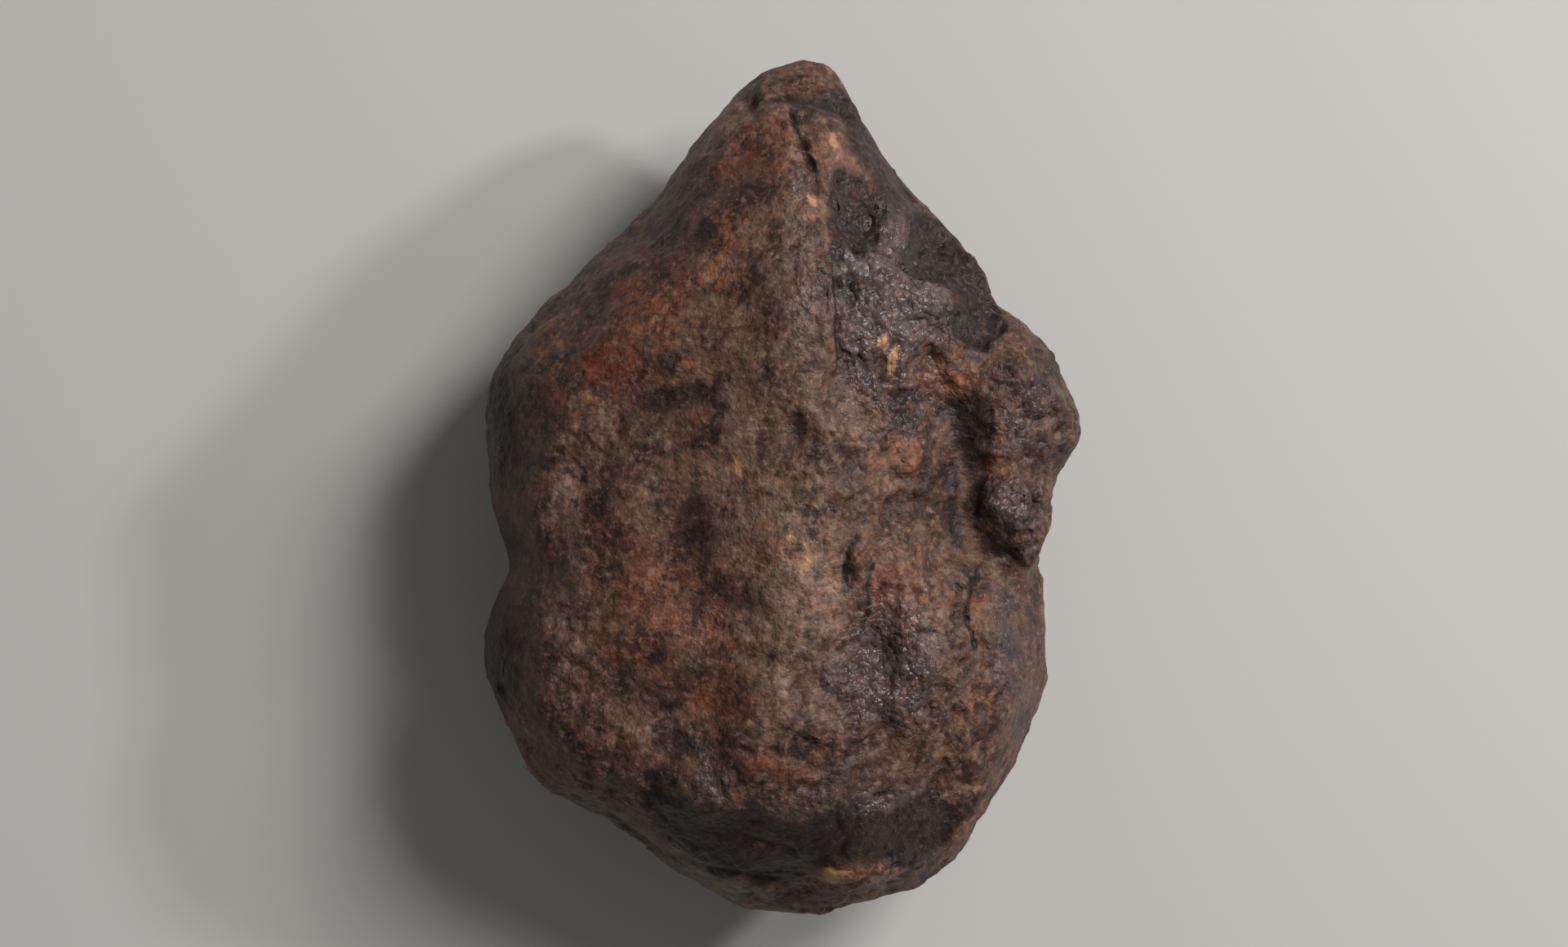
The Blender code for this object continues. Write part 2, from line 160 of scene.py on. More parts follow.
# Ledges of the front: path, height, and how far the raised ground on its left side reaches, or
# the sunk ground where the height is negative
LEDGES = {
    "leaf": ([(7.2, -13.2), (7.3, -10.0), (7.9, -7.4), (8.8, -4.5)], -0.4, 2.4),
    "crest step": ([(6.6, 13.6), (6.1, 17.0), (6.4, 20.4), (6.0, 24.0), (6.1, 28.4)], 0.9, 4.5),
    "wedge": ([(1.8, 36.0), (4.4, 33.6), (6.2, 29.0)], -0.9, 3.0),
    "right scarp": ([(23.6, -20.0), (22.0, -16.2), (22.6, -12.0), (24.2, -8.8)], 0.9, 3.5),
    "hollow rim": ([(7.4, 28.0), (10.4, 28.4), (15.0, 25.4), (20.0, 24.0)], -0.9, 3.0),
    "trough scarp": ([(21.0, -3.0), (20.0, 2.6), (19.4, 7.0), (18.0, 11.0)], 0.4, 3.0),
    "red scale": ([(12.6, 6.4), (12.8, 8.4), (12.0, 10.6)], 0.7, 1.6),
    "lip": ([(2.0, -47.8), (-6.0, -46.6), (-15.0, -44.0), (-24.0, -38.4)], 0.5, 4.0),
}

# How wide the step of a ledge is
LEDGE_STEP = 0.9
# A crack, ledge or long stain dies out over this share of its path at each end
END_SHARE = 0.15

# Dark broken faces of the front: corners, depth and darkness. On the trough, the bottom face and the
# crest hollow the darkness is painted shade; on the apex and edge faces it darkens the colour
BROKEN_FACES = {
    "apex face": (
        [(6.2, 38.2), (5.6, 34.0), (6.4, 30.4), (8.4, 27.4), (11.4, 29.4), (12.4, 34.0), (10.4, 37.0)],
        0.8, 1.15,
    ),
    "edge face": (
        [(15.8, 34.0), (14.8, 29.4), (14.0, 25.8), (17.0, 24.8), (19.8, 23.4), (20.0, 20.4),
         (20.4, 17.4), (24.6, 16.6), (27.4, 19.2), (24.4, 25.6), (22.8, 28.8), (19.2, 32.8)],
        0.8, 1.2,
    ),
    "trough": (
        [(19.6, 11.4), (20.0, 5.8), (20.8, 1.8), (21.8, -3.2), (23.6, -4.8), (24.8, -0.2),
         (24.4, 3.8), (26.0, 7.3), (24.4, 11.6)],
        0.2, 0.7,
    ),
    "bottom face": (
        [(-17.4, -35.4), (-14.5, -41.6), (-8.3, -46.6), (0.5, -48.0), (4.0, -45.8), (9.0, -44.6),
         (15.4, -46.0), (20.6, -41.8), (25.4, -36.0), (20.6, -37.8), (16.6, -36.4), (12.2, -38.8),
         (7.4, -37.2), (2.2, -39.8), (-3.6, -38.0), (-8.4, -39.0), (-12.6, -36.6)],
        0.1, 1.1,
    ),
    "crest hollow": (
        [(0.6, 8.6), (0.4, 6.0), (2.0, 4.2), (3.6, 6.2), (3.2, 8.8), (2.0, 9.6)],
        0.5, 0.7,
    ),
}
# How wide the slope at the edge of a broken face is, and over what width its darkness fades
FACE_EDGE = 0.9
DARK_EDGE = 2.6

# Round hollows (negative) and lumps (positive) of the front: centre, half lengths and height
DENTS = {
    "glossy swelling": ((10.4, 24.2), (3.6, 4.6), 0.6),
    "grey swelling": ((17.2, 22.0), (2.8, 3.2), 0.6),
    "orange scale": ((14.3, 2.9), (1.8, 1.8), 0.8),
    "round lump": ((27.0, -1.6), (4.2, 4.2), 0.5),
    "knob dimple": ((33.4, 6.6), (1.6, 1.4), -0.8),
    "knob swelling": ((31.4, 10.2), (3.0, 3.0), 0.6),
    "leaf swelling": ((9.2, -10.0), (1.8, 5.0), 0.5),
    "low scale": ((16.0, -20.0), (3.2, 3.6), 0.6),
    "low hollow": ((11.0, -18.6), (1.4, 3.4), -0.5),
    "heel": ((7.0, -45.6), (4.2, 1.8), 0.6),
    "heel end": ((12.4, -46.0), (2.4, 1.4), 0.5),
}

# How fast a dent deepens from its rim, and how fast a stain fades from its middle
DENT_STEEPNESS = 1.6
STAIN_FADE = 0.8

# What is listed wanders a little: the size of each wander and how far it reaches
WANDER = [(3.5, 0.7), (1.4, 0.1)]
WANDER_SEED = 7

# Stains of the front, by kind, with painted shade among the dark ones and a painted sheen in the
# silver ones: centre, half lengths, turn in degrees and strength
STAINS = {
    "red": [
        ((-20.0, 15.0), (4.2, 3.6), 0, 1.0), ((-16.0, 22.0), (8.0, 6.0), 40, 0.55),
        ((-4.0, 42.0), (5.0, 5.0), 0, 0.6), ((-22.5, -6.0), (2.6, 7.0), 0, 0.6),
        ((-6.0, -14.0), (5.0, 5.0), 20, 0.8), ((-8.0, -24.0), (5.0, 4.0), 0, 0.6),
        ((-2.0, -33.0), (8.0, 3.0), 0, 0.5), ((13.0, -12.0), (4.0, 5.0), 0, 0.6),
        ((12.0, -30.0), (4.0, 3.0), 0, 0.5), ((-20.0, -31.0), (6.0, 4.0), 0, 0.4),
        ((-30.0, 12.0), (4.0, 6.0), 30, 0.5), ((-15.0, -14.0), (8.0, 11.0), 0, 0.6),
        # The red stain at (-34, -8) runs along the left wall and darkens it too: partly painted shade
        ((-31.0, -22.0), (4.0, 10.0), 0, 0.5), ((-34.0, -8.0), (3.0, 22.0), 0, 0.6),
    ],
    "rust": [
        ((-6.5, 28.0), (2.4, 5.0), 10, 0.6), ((-15.5, 21.0), (4.0, 3.0), 20, 0.9),
        ((-10.0, 13.5), (5.0, 1.2), 20, 0.6), ((19.2, 13.2), (4.4, 2.6), -20, 1.2),
        ((14.0, 3.6), (2.8, 2.6), 0, 1.0), ((-6.6, -10.0), (3.0, 4.0), 0, 0.7),
        ((12.0, -9.0), (2.6, 4.4), 0, 0.6), ((17.0, -12.0), (3.0, 4.0), 0, 0.5),
        ((23.0, -15.0), (1.8, 2.6), 0, 0.8), ((23.0, -25.0), (3.0, 3.0), 0, 0.6),
        ((2.5, 50.0), (5.0, 2.4), 10, 0.5), ((-1.0, -7.0), (5.0, 3.0), 0, 0.6),
        ((6.0, 41.6), (2.2, 2.6), 0, 0.7), ((7.2, -46.4), (5.6, 1.7), 8, 1.0),
        ((28.0, 17.0), (4.0, 2.4), -40, 0.5), ((-9.0, -26.0), (3.0, 2.0), 0, 0.6),
        ((11.8, 8.4), (1.0, 1.6), 0, 0.6), ((-28.0, 18.0), (4.0, 3.0), 40, 0.5),
        ((-13.0, -15.0), (7.0, 9.0), 0, 0.5), ((-6.4, 2.4), (2.0, 2.6), 0, 0.6),
    ],
    "tan": [
        ((13.0, 15.0), (0.6, 2.6), -10, 1.0), ((11.8, 17.6), (0.9, 0.7), 0, 0.8),
        ((6.0, 41.6), (0.6, 1.8), 0, 0.5), ((3.9, 34.2), (0.5, 1.2), 20, 0.85),
        ((6.0, -46.2), (2.0, 0.9), 12, 0.65), ((10.8, -46.8), (1.8, 0.8), 12, 0.5),
        ((-5.6, 2.6), (0.7, 1.3), 0, 0.8), ((3.0, -8.4), (1.6, 2.4), 0, 0.5),
        ((-15.0, 20.0), (1.4, 0.8), 40, 0.6), ((1.0, -5.6), (1.4, 1.0), 0, 0.5),
    ],
    "grey": [
        ((12.5, 24.0), (7.0, 9.5), 12, 1.2), ((14.0, 14.0), (7.5, 8.0), 0, 0.9),
        ((12.5, -21.0), (7.5, 9.0), 0, 0.8), ((30.0, 10.0), (6.0, 8.0), 0, 0.6),
        ((27.5, -2.0), (4.5, 4.0), 0, 0.7), ((28.0, -20.0), (4.0, 13.0), 0, 0.6),
        ((1.0, -6.0), (5.0, 8.0), 0, 0.4), ((2.0, 24.0), (2.4, 14.0), 0, 0.5),
        ((10.0, -38.0), (10.0, 3.0), 0, 0.7), ((-6.0, 26.0), (3.0, 3.0), 0, 0.3),
    ],
    # Dark patches and painted shade: the three patches at x near -35 paint the shade on the left wall,
    # which faces away from the lamps, and the one at (2.6, 46.4) paints shade in the cap groove
    "dark_and_painted_shade": [
        ((-12.5, 11.0), (6.5, 2.2), 15, 0.7), ((-10.0, -4.8), (2.6, 5.6), 6, 0.85),
        ((-13.0, -22.0), (4.0, 3.6), 0, 0.6), ((-11.0, 34.0), (5.0, 1.4), 40, 0.6),
        ((28.0, 14.0), (4.0, 5.0), -30, 0.6), ((-34.6, 8.0), (3.6, 10.0), 0, 1.0),
        ((13.2, 37.4), (3.4, 4.6), 35, 1.0), ((10.4, 41.8), (2.6, 4.4), 28, 1.0),
        ((31.4, 15.4), (4.4, 3.0), -45, 0.65), ((19.6, 20.0), (1.4, 3.0), 0, 0.5),
        ((6.8, 46.4), (3.6, 2.2), -20, 0.9), ((29.6, -2.0), (1.0, 2.6), 0, 0.6),
        ((2.6, 46.4), (3.4, 1.0), -5, 0.6), ((-34.8, -7.0), (3.4, 5.0), 0, 0.85),
        ((-35.0, -19.0), (4.0, 8.0), 0, 1.0), ((34.0, 6.0), (2.4, 5.0), 0, 0.6),
        ((28.6, -18.0), (3.0, 9.0), 0, 0.42), ((28.0, -29.0), (3.0, 4.0), 0, 0.45),
        ((32.0, 10.0), (3.4, 4.4), 0, 0.42), ((-4.0, 36.0), (5.0, 3.0), 30, 0.4),
        ((13.9, 9.6), (2.2, 2.6), 0, 0.8), ((16.8, 1.0), (2.0, 3.4), 0, 0.75),
        ((31.0, 5.0), (2.0, 3.0), 0, 0.5), ((18.9, 9.2), (1.1, 2.2), 0, 0.7),
        ((-1.0, 30.6), (1.6, 4.0), 0, 0.5),
    ],
    "lip": [
        ((-20.0, -41.0), (12.0, 2.6), -34, 0.8), ((-8.0, -48.0), (9.0, 2.2), -14, 0.8),
        ((-0.8, -9.2), (1.2, 1.4), 0, 1.0),
    ],
    "pale": [
        ((1.0, 24.0), (2.8, 16.0), 0, 0.5), ((-2.4, -9.0), (5.4, 11.0), 5, 1.2),
        ((4.5, -12.0), (4.0, 7.0), 0, 0.8), ((-4.8, 10.0), (2.2, 9.5), 0, 1.2),
        ((-3.0, 49.0), (5.0, 2.0), 30, 0.3), ((4.4, 50.4), (3.4, 1.6), -20, 0.4),
        ((8.0, -46.8), (6.0, 1.6), 8, 0.5), ((-25.4, -8.0), (3.0, 18.0), 0, 0.65),
        ((8.0, 8.0), (4.0, 5.0), 0, 0.5), ((33.4, 9.6), (2.4, 4.4), 0, 0.35),
        ((-9.0, 27.0), (1.8, 4.0), 20, 0.5), ((6.0, 40.0), (1.6, 3.0), 0, 0.4),
        ((16.0, -16.0), (5.0, 6.0), 0, 0.5), ((-1.0, -22.0), (4.0, 8.0), 0, 0.6),
        ((-21.0, 8.0), (1.8, 5.0), 0, 0.6), ((-7.0, 44.0), (2.0, 4.6), -35, 0.9),
        ((-7.4, 2.0), (2.6, 3.6), 0, 1.0), ((-22.4, 2.6), (1.8, 3.4), 0, 0.8),
        ((3.9, -0.4), (2.0, 2.6), 0, 0.8),
    ],
    # The silver-grey places are glossy, and their lighter colour is partly a painted sheen
    "silver_and_painted_sheen": [
        ((9.4, 22.4), (3.2, 6.6), 0, 1.0), ((15.6, 20.6), (4.0, 3.6), 0, 0.9),
        ((11.4, -17.4), (2.0, 4.0), 0, 0.6), ((17.4, -19.0), (3.0, 3.6), 0, 0.6),
        ((1.6, -6.4), (2.0, 3.0), 0, 0.5),
    ],
    "fibre": [
        ((2.0, 24.0), (4.0, 18.0), 0, 1.0), ((12.0, 24.0), (6.0, 9.0), 0, 0.6),
        ((-28.0, -10.0), (4.0, 24.0), 0, 0.6), ((2.0, -2.0), (5.0, 10.0), 0, 0.6),
        ((-12.0, 36.0), (8.0, 4.0), 48, 0.4),
    ],
}


# Node trees written as sums


class Wire:
    """A socket that takes part in sums: each operation on it adds a Math node to its tree."""

    def __init__(self, graph, socket):
        self.graph = graph
        self.socket = socket

    def math(self, operation, first, second):
        settings = {"operation": operation}
        return self.graph.node("ShaderNodeMath", settings, {0: first, 1: second})[0]

    def __add__(self, other):
        return self.math("ADD", self, other)

    def __radd__(self, other):
        return self.math("ADD", other, self)

    def __sub__(self, other):
        return self.math("SUBTRACT", self, other)

    def __rsub__(self, other):
        return self.math("SUBTRACT", other, self)

    def __mul__(self, other):
        return self.math("MULTIPLY", self, other)

    def __rmul__(self, other):
        return self.math("MULTIPLY", other, self)

    def __truediv__(self, other):
        return self.math("DIVIDE", self, other)

    def __rtruediv__(self, other):
        return self.math("DIVIDE", other, self)

    def __abs__(self):
        return self.math("ABSOLUTE", self, 0.0)

    def highest(self, other):
        return self.math("MAXIMUM", self, other)

    def step(self, low, high):
        """0 at low and 1 at high, or the other way round, with an even curve between."""
        values = {"Value": self, "From Min": low, "From Max": high}
        settings = {"interpolation_type": "SMOOTHSTEP"}
        return self.graph.node("ShaderNodeMapRange", settings, values)[0]


class Graph:
    """A node tree whose nodes are added one call at a time."""

    def __init__(self, tree):
        self.tree = tree

    def node(self, kind, settings, values):
        """A new node: its settings are set first, then its sockets. Returns its outputs."""
        made = self.tree.nodes.new(kind)
        for name, value in settings.items():
            setattr(made, name, value)
        for key, value in values.items():
            if isinstance(value, Wire):
                self.tree.links.new(value.socket, made.inputs[key])
            else:
                made.inputs[key].default_value = value
        return Outputs(self, made)

    def vector(self, operation, first, second):
        settings = {"operation": operation}
        return self.node("ShaderNodeVectorMath", settings, {0: first, 1: second})

    def scaled(self, vector, amount):
        settings = {"operation": "SCALE"}
        return self.node("ShaderNodeVectorMath", settings, {0: vector, "Scale": amount})[0]

    def blend(self, share, first, second):
        """A colour between two colours."""
        settings = {"data_type": "RGBA", "clamp_factor": True}
        return self.node("ShaderNodeMix", settings, {0: share, 6: first, 7: second})[2]

    def noise(self, place, size, detail=2.0, roughness=0.5):
        """Cloudy noise whose clouds are about this size, in the unit of the place."""
        spread = self.scaled(place, 1.0 / size)
        values = {"Vector": spread, "Scale": 1.0, "Detail": detail, "Roughness": roughness}
        return self.node("ShaderNodeTexNoise", {}, values)

    def cells(self, place, size):
        """Irregular cells of this size. For each point: a random colour of its cell, where it
        is from the cell's middle, and how far it is from the border, in cell sizes."""
        spread = self.scaled(place, 1.0 / size)
        values = {"Vector": spread, "Scale": 1.0}
        cell = self.node("ShaderNodeTexVoronoi", {}, values)
        from_middle = self.vector("SUBTRACT", spread, cell["Position"])[0]
        settings = {"feature": "DISTANCE_TO_EDGE"}
        border = self.node("ShaderNodeTexVoronoi", settings, values)["Distance"]
        return cell["Color"], from_middle, border

    def length(self, vector):
        return self.vector("LENGTH", vector, (0.0, 0.0, 0.0))["Value"]


class Outputs:
    """The outputs of one node, by name or by number."""

    def __init__(self, graph, made):
        self.graph = graph
        self.made = made

    def __getitem__(self, key):
        return Wire(self.graph, self.made.outputs[key])


def grey_of(graph, colour):
    """One number from 0 to 1 out of a random colour."""
    return graph.node("ShaderNodeSeparateXYZ", {}, {0: colour})["X"]


# The worn surface, as a Geometry Nodes tree


def tilted(graph, place, size):
    """Flat flakes side by side, each tilted its own way: about -0.5 to 0.5."""
    random_colour, from_middle, border = graph.cells(place, size)
    lean = graph.vector("SUBTRACT", random_colour, (0.5, 0.5, 0.5))[0]
    tilt = graph.vector("DOT_PRODUCT", lean, from_middle)["Value"]
    return tilt * 2.0 * border.step(0.0, FLAKE_BORDER)


def pits(graph, place, size):
    """Small round pits in some of the cells: 1 in the middle of a pit and 0 outside it."""
    random_colour, from_middle, border = graph.cells(place, size)
    chosen = grey_of(graph, random_colour).step(0.62, 0.70)
    return graph.length(from_middle).step(0.38, 0.12) * border.step(0.0, FLAKE_BORDER) * chosen


def dishes(graph, place, size):
    """Dished hollows side by side, with ridges between them: about -0.35 to 0.35."""
    _, from_middle, _ = graph.cells(place, size)
    distance = graph.length(from_middle)
    return distance * distance - 0.35


def surface_lift(graph, size, place, seeded, rough):
    """How far each point moves out, in millimetres, from a sum of all sizes of unevenness."""
    smooth = 1.0 - rough
    swell = graph.noise(seeded, size["Swell Size"], 2.0)[0] - 0.5
    flake = tilted(graph, seeded, size["Flake Size"])
    chip = tilted(graph, seeded, size["Chip Size"])
    dish = dishes(graph, seeded, size["Dish Size"])
    pit = pits(graph, seeded, size["Pit Size"])
    grain = graph.noise(seeded, size["Grain Size"], 3.0, 0.6)[0] - 0.5
    stretched = graph.vector("MULTIPLY", place, (1.0, 0.16, 1.0))[0]
    streak = graph.noise(stretched, 1.5, 3.0, 0.55)[0] - 0.5
    return (
        swell * size["Swell Height"] * (0.3 + 1.7 * rough)
        + flake * size["Flake Height"] * rough
        + chip * size["Chip Height"] * (0.05 + 0.95 * rough)
        + dish * size["Dish Depth"] * rough
        - pit * size["Pit Depth"] * rough
        + grain * size["Grain Height"] * (0.6 + 1.4 * rough)
        + streak * size["Streak Height"] * 2.0 * smooth
    )


def surface_sockets(tree):
    """Gives the tree its geometry sockets and its named inputs."""
    interface = tree.interface
    interface.new_socket("Geometry", in_out="INPUT", socket_type="NodeSocketGeometry")
    for name in [*SURFACE_SIZES, "Seed"]:
        interface.new_socket(name, in_out="INPUT", socket_type="NodeSocketFloat")
    interface.new_socket("Geometry", in_out="OUTPUT", socket_type="NodeSocketGeometry")


def warped(graph, place, seed, size):
    """The place moved by the seed and bent, so that no border of a flake is a straight line."""
    shift = graph.node("ShaderNodeCombineXYZ", {}, {0: seed * SEED_STEP})[0]
    seeded = graph.vector("ADD", place, shift)[0]
    bend = graph.noise(seeded, size["Warp Size"], 1.0)["Color"]
    bend = graph.vector("SUBTRACT", bend, (0.5, 0.5, 0.5))[0]
    bend = graph.scaled(bend, size["Warp Reach"] * 2.0)
    return graph.vector("ADD", seeded, bend)[0]


def surface_tree(material):
    """Halves the mesh's faces, wears the surface and clothes it. Its inputs are the sizes."""
    tree = bpy.data.node_groups.new("worn surface", "GeometryNodeTree")
    surface_sockets(tree)
    graph = Graph(tree)
    given = graph.node("NodeGroupInput", {}, {})
    size = {name: given[name] for name in SURFACE_SIZES}

    place = graph.scaled(graph.node("GeometryNodeInputPosition", {}, {})[0], 1.0 / MM)
    normal = graph.node("GeometryNodeInputNormal", {}, {})[0]
    settings = {"data_type": "FLOAT"}
    rough = graph.node("GeometryNodeInputNamedAttribute", settings, {"Name": "rough"})[0]
    z = graph.node("ShaderNodeSeparateXYZ", {}, {0: place})["Z"]
    above_rest = z.step(REST_LEVEL, size["Rest Height"])
    bent = warped(graph, place, given["Seed"], size)
    lift = surface_lift(graph, size, place, bent, rough) * above_rest

    values = {"Mesh": given["Geometry"], "Level": HALVINGS}
    halved = graph.node("GeometryNodeSubdivisionSurface", {}, values)[0]
    settings = {"data_type": "FLOAT", "domain": "POINT"}
    values = {"Geometry": halved, "Name": "hollow", "Value": lift * -1.0}
    stored = graph.node("GeometryNodeStoreNamedAttribute", settings, values)[0]
    offset = graph.scaled(normal, lift * MM)
    worn = graph.node("GeometryNodeSetPosition", {}, {"Geometry": stored, "Offset": offset})[0]
    smooth = graph.node("GeometryNodeSetShadeSmooth", {}, {"Geometry": worn})[0]
    real = graph.node("GeometryNodeRealizeInstances", {}, {"Geometry": smooth})[0]
    clothed = graph.node("GeometryNodeSetMaterial", {}, {"Geometry": real, "Material": material})
    graph.node("NodeGroupOutput", {}, {"Geometry": clothed[0]})
    return tree


# The cracks, ledges, dents and stains, with the painted shade and sheen among the stains


def smooth_step(value):
    t = np.clip(value, 0.0, 1.0)
    return t * t * (3.0 - 2.0 * t)


def along_path(plan, path):
    """Each point's distance from a path, negative on its right side, and how far along it is."""
    path = np.array(path)
    lengths = np.hypot(*np.diff(path, axis=0).T)
    starts = np.concatenate([[0.0], np.cumsum(lengths)[:-1]])
    distance = np.full(len(plan), np.inf)
    side = np.ones(len(plan))
    along = np.zeros(len(plan))
    for start, end, length, before in zip(path, path[1:], lengths, starts):
        run = (end - start) / length
        away = plan - start
        t = np.clip(away @ run, 0.0, length)
        gap = np.hypot(*(away - t[:, None] * run).T)
        nearer = gap < distance
        distance[nearer] = gap[nearer]
        side[nearer] = np.sign(run[0] * away[:, 1] - run[1] * away[:, 0])[nearer]
        along[nearer] = ((before + t) / lengths.sum())[nearer]
    return distance * side, along


def fading_ends(along):
    """Full along the middle of a path, and dying out at its ends."""
    return smooth_step(along / END_SHARE) * smooth_step((1.0 - along) / END_SHARE)


def crack_depth(plan, crack):
    """How deep a crack is at each point. Its depth rises and falls a little along it."""
    path, half_width, depth = crack
    distance, along = along_path(plan, path)
    uneven = 0.85 + 0.15 * np.sin(along * 15.0 + depth * 40.0)
    return depth * uneven * np.exp(-((distance / half_width) ** 2)) * fading_ends(along)


def ledge_height(plan, ledge):
    """How high a ledge stands at each point: most at its step, and less away from it."""
    path, height, reach = ledge
    distance, along = along_path(plan, path)
    step = smooth_step(0.5 + distance / LEDGE_STEP)
    return height * step * np.exp(-np.maximum(distance, 0.0) / reach) * fading_ends(along)


def dent_height(plan, dent):
    centre, half, height = dent
    spread = np.hypot(*((plan - centre) / half).T)
    return height * smooth_step(DENT_STEEPNESS * (1.0 - spread))


def inside_corners(plan, corners):
    """Whether each point lies inside the corners: its line to the right leaves them once more
    than it enters them."""
    x, y = plan.T
    inside = np.zeros(len(plan), bool)
    for (x0, y0), (x1, y1) in zip(corners, corners[1:] + corners[:1]):
        if y0 != y1:
            crossing = x0 + (y - y0) * (x1 - x0) / (y1 - y0)
            inside ^= ((y0 > y) != (y1 > y)) & (x < crossing)
    return inside


def depth_inside(plan, corners):
    """How far inside the corners each point lies, negative outside them."""
    distance = np.abs(along_path(plan, corners + corners[:1])[0])
    return np.where(inside_corners(plan, corners), distance, -distance)


def long_stain_strength(plan, long_stain):
    path, half_width, strength = long_stain
    distance, along = along_path(plan, path)
    return strength * np.exp(-((distance / half_width) ** 2)) * fading_ends(along)


def stain_strength(plan, stain):
    centre, half, turn, strength = stain
    c, s = math.cos(math.radians(turn)), math.sin(math.radians(turn))
    turned = (plan - centre) @ np.array([[c, -s], [s, c]])
    return strength * np.exp(-STAIN_FADE * ((turned / half) ** 2).sum(axis=1))


def place_roughness(mesh):
    """Notes on the unworn mesh how rough each place is to become."""
    points = read_vectors(mesh.vertices, "co") / MM
    upward = read_vectors(mesh.vertex_normals, "vector")[:, 2]
    calm = np.zeros(len(points))
    for place in CALM_PLACES:
        calm = np.maximum(calm, stain_strength(points[:, :2], place))
    front = smooth_step(upward / 0.3)
    steep = smooth_step((0.5 - np.abs(upward)) / 0.4)
    rough = BACK_ROUGHNESS + (ROUGHNESS - calm - BACK_ROUGHNESS) * front
    write_attribute(mesh, "rough", np.clip(rough * (1.0 - 0.5 * steep), LEAST_ROUGHNESS, 1.0))


def wandering_plan(points):
    """Where each point lies seen from above, with a slight wander that makes edges uneven."""
    noise.seed_set(WANDER_SEED)
    plan = points[:, :2].copy()
    for size, reach in WANDER:
        wander = np.array([noise.noise_vector(Vector(p) / size) for p in points])
        plan += reach * wander[:, :2]
    return plan


def read_vectors(items, name):
    values = np.zeros(len(items) * 3, np.float32)
    items.foreach_get(name, values)
    return values.reshape(-1, 3).astype(float)


def write_attribute(mesh, name, values):
    attribute = mesh.attributes.get(name) or mesh.attributes.new(name, "FLOAT", "POINT")
    attribute.data.foreach_set("value", values.astype(np.float32))


def read_attribute(mesh, name):
    values = np.zeros(len(mesh.vertices), np.float32)
    mesh.attributes[name].data.foreach_get("value", values)
    return values.astype(float)


def broken_faces(plan):
    """How deep the broken faces lie at each point, and how dark they are painted there, in part as
    painted shade.
    """
    sunk = np.zeros(len(plan))
    darkness = np.zeros(len(plan))
    for corners, depth, face_darkness in BROKEN_FACES.values():
        inward = depth_inside(plan, corners)
        sunk += depth * smooth_step(inward / FACE_EDGE)
        darkness += face_darkness * smooth_step(0.5 + inward / DARK_EDGE)
    return sunk, darkness


def note_stains(mesh, plan, darkness, shown):
    """Notes how strong each kind of stain is. The broken faces belong to the dark kind, which also
    holds the painted shade.
    """
    for kind, stains in STAINS.items():
        strength = darkness.copy() if kind == "dark_and_painted_shade" else np.zeros(len(plan))
        for stain in stains:
            strength = np.maximum(strength, stain_strength(plan, stain))
        for long_stain in LONG_STAINS.get(kind, []):
            strength = np.maximum(strength, long_stain_strength(plan, long_stain))
        write_attribute(mesh, kind, strength * shown)


def carve(mesh):
    """Cuts the cracks, ledges, dents and broken faces into the front, and notes the stains and the
    painted shade.
    """
    points = read_vectors(mesh.vertices, "co") / MM
    normals = read_vectors(mesh.vertex_normals, "vector")
    front = smooth_step((normals[:, 2] - 0.05) / 0.3)
    plan = wandering_plan(points)
    cracks = sum(crack_depth(plan, crack) for crack in CRACKS.values()) * front
    ledges = sum(ledge_height(plan, ledge) for ledge in LEDGES.values()) * front
    dents = sum(dent_height(plan, dent) for dent in DENTS.values()) * front
    sunk, darkness = broken_faces(plan)
    points = points + normals * (ledges + dents - cracks - sunk * front)[:, None]
    points[:, 2] = np.maximum(points[:, 2], 0.0)
    mesh.vertices.foreach_set("co", (points * MM).astype(np.float32).ravel())
    mesh.update()
    # The cracks' depth and how deep each place lies, which the material paints as shade
    write_attribute(mesh, "crack", cracks)
    write_attribute(mesh, "hollow", read_attribute(mesh, "hollow") - dents)
    note_stains(mesh, plan, darkness, smooth_step((normals[:, 2] + 0.2) / 0.4))


# The stone's material


def colour(red, green, blue):
    """A colour given as 0 to 255 on a screen, as the linear values that a shader takes."""
    parts = [part / 255.0 for part in (red, green, blue)]
    return tuple(p / 12.92 if p <= 0.04045 else ((p + 0.055) / 1.055) ** 2.4 for p in parts) + (1.0,)


UMBER = colour(54, 38, 32)
BROWN = colour(104, 76, 62)
MAUVE = colour(88, 69, 65)
PALE_BROWN = colour(146, 118, 102)
OXIDE_RED = colour(112, 52, 36)
ORANGE = colour(150, 94, 64)
TAN = colour(204, 156, 112)
LIGHT_GRAIN = colour(166, 134, 114)
BLUE_GREY = colour(80, 69, 69)
# Silver grey, partly a painted sheen
SILVER_AND_SHEEN_GREY = colour(104, 94, 92)
# Near black: the black grains and specks, and the painted shade of hollows, cracks and creases
BLACK_AND_PAINTED_SHADE = colour(33, 25, 24)
LIP_GREY = colour(104, 96, 84)

# The size of the stone's mineral grains, in millimetres
GRAIN_WIDTH = 1.0
# How strongly the stone mirrors its surroundings: less than polished stone, which is at 0.5
SHEEN = 0.28
# How far the relief in the shading stands up, in metres, and how much of it is used
RELIEF_HEIGHT = 0.0004
RELIEF_SHARE = 0.8


def attribute(graph, name):
    return graph.node("ShaderNodeAttribute", {"attribute_name": name}, {})["Fac"]


def sideways(graph, place, distance):
    """The place moved sideways, so that its noise is another one."""
    return graph.vector("ADD", place, (distance, 0.0, 0.0))[0]


